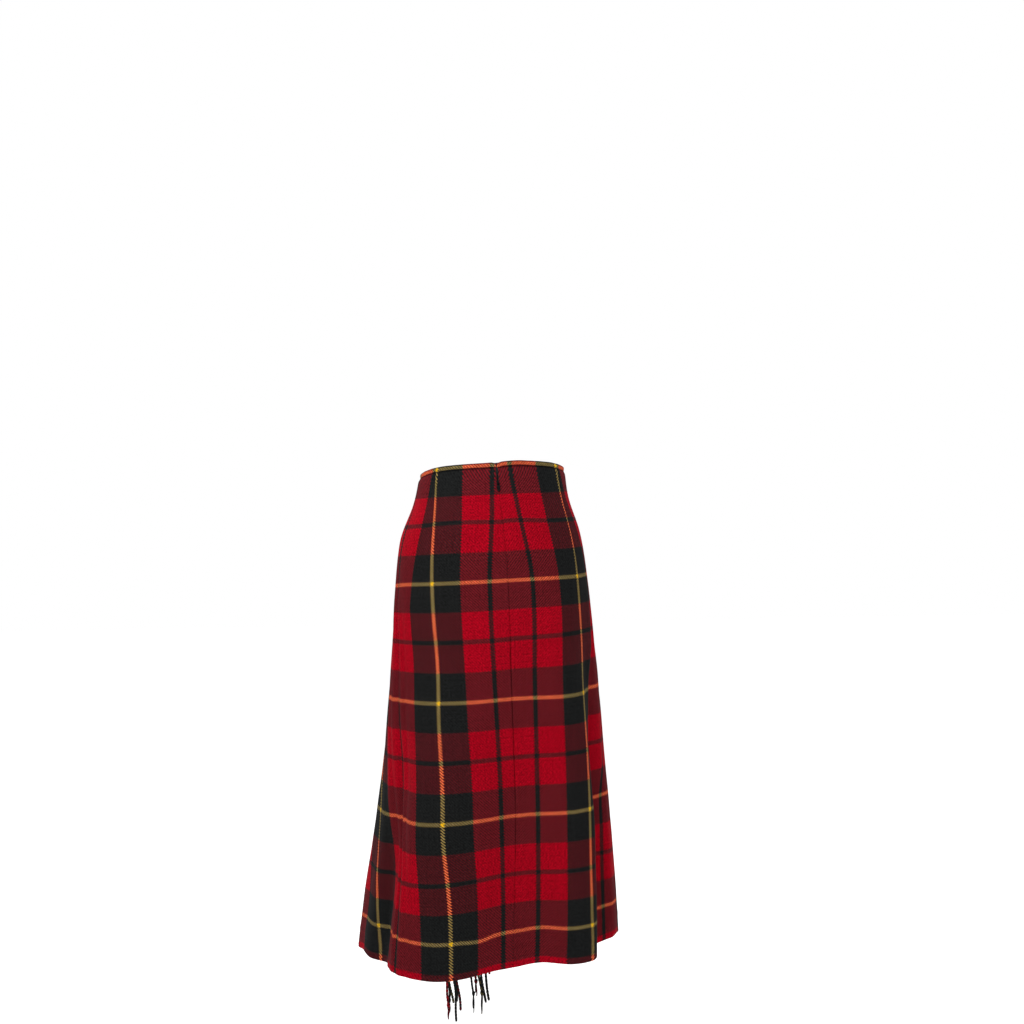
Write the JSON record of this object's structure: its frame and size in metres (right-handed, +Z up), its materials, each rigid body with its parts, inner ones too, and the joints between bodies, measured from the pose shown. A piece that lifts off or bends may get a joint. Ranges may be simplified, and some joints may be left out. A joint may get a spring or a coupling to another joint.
{
  "type": "kilt skirt",
  "caption": "Worn midi kilt skirt of check wool cloth with a back zip, rolled waist edge and a fringed wrap front.",
  "frame": {"origin": "middle of the waist, where the wearer holds the skirt up", "axes": "+Z up the wearer, -Y the way the wearer faces, +X the wearer's left"},
  "size_m": [0.3998, 0.289, 0.8915],
  "materials": {
    "cloth": "twill woven wool check, dull with a faint fuzz",
    "yarn": "twisted wool yarn",
    "tape": "black woven zip tape",
    "coil": "black moulded coil",
    "slider_metal": "black enamel on metal"
  },
  "bodies": {
    "skirt": {"left_panel": "cloth", "right_panel": "cloth", "waist_edge_left": "cloth", "waist_edge_right": "cloth", "apron_fringe": "yarn", "zip_tape_left": "tape", "zip_tape_right": "tape", "zip_coil": "coil", "zip_slider": "slider_metal"},
    "pull": {"zip_pull": "slider_metal"}
  },
  "joints": [
    {"name": "pull_hinge", "type": "hinge", "parent": "skirt", "child": "pull", "pos_m": [0.00899, 0.08742, -0.0238], "axis": [0.9972, -0.0538, -0.0519], "range_deg": [0, 165]}
  ]
}
